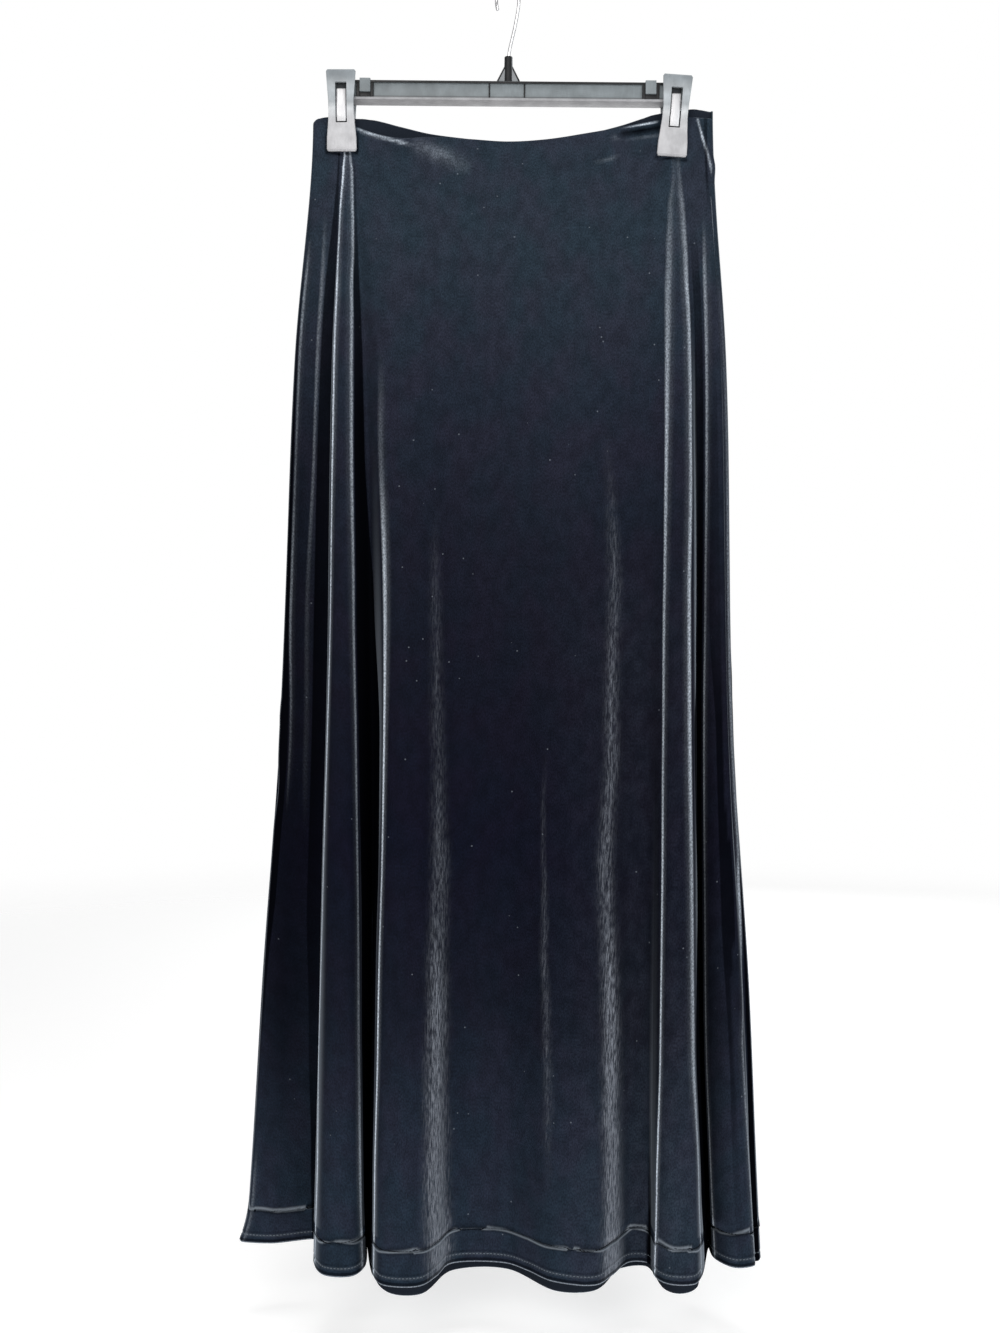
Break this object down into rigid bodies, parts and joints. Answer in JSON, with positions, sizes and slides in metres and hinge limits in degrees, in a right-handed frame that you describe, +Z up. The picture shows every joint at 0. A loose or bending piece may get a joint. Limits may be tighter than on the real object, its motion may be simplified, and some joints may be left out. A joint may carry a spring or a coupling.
{
  "type": "maxi skirt on a clip hanger",
  "caption": "Long A-line velvet pull-on skirt hanging in soft folds from a bar hanger that holds its waist in pinch clips.",
  "frame": {"origin": "inside top of the hanger's hook, where a rail or a nail carries it", "axes": "+Z up along the hanging skirt, -Y out of the skirt's front, +X to the right of someone facing its front"},
  "size_m": [0.4679, 0.1181, 1.1623],
  "materials": {
    "velvet": "stretch velvet, blue-black, short dense pile with a pale sheen on every turn of the cloth",
    "hanger_plastic": "moulded smoky grey plastic, satin, paler on the clips' pads",
    "clip_steel": "bright spring strip",
    "hook_wire": "plated wire"
  },
  "bodies": {
    "root": {"front_panel": "velvet", "back_panel": "velvet", "hanger_bar": "hanger_plastic", "hanger_hook": "hook_wire", "clip_left_front_jaw": "hanger_plastic", "clip_left_back_jaw": "hanger_plastic", "clip_left_spring": "clip_steel", "clip_right_front_jaw": "hanger_plastic", "clip_right_back_jaw": "hanger_plastic", "clip_right_spring": "clip_steel"}
  },
  "joints": []
}
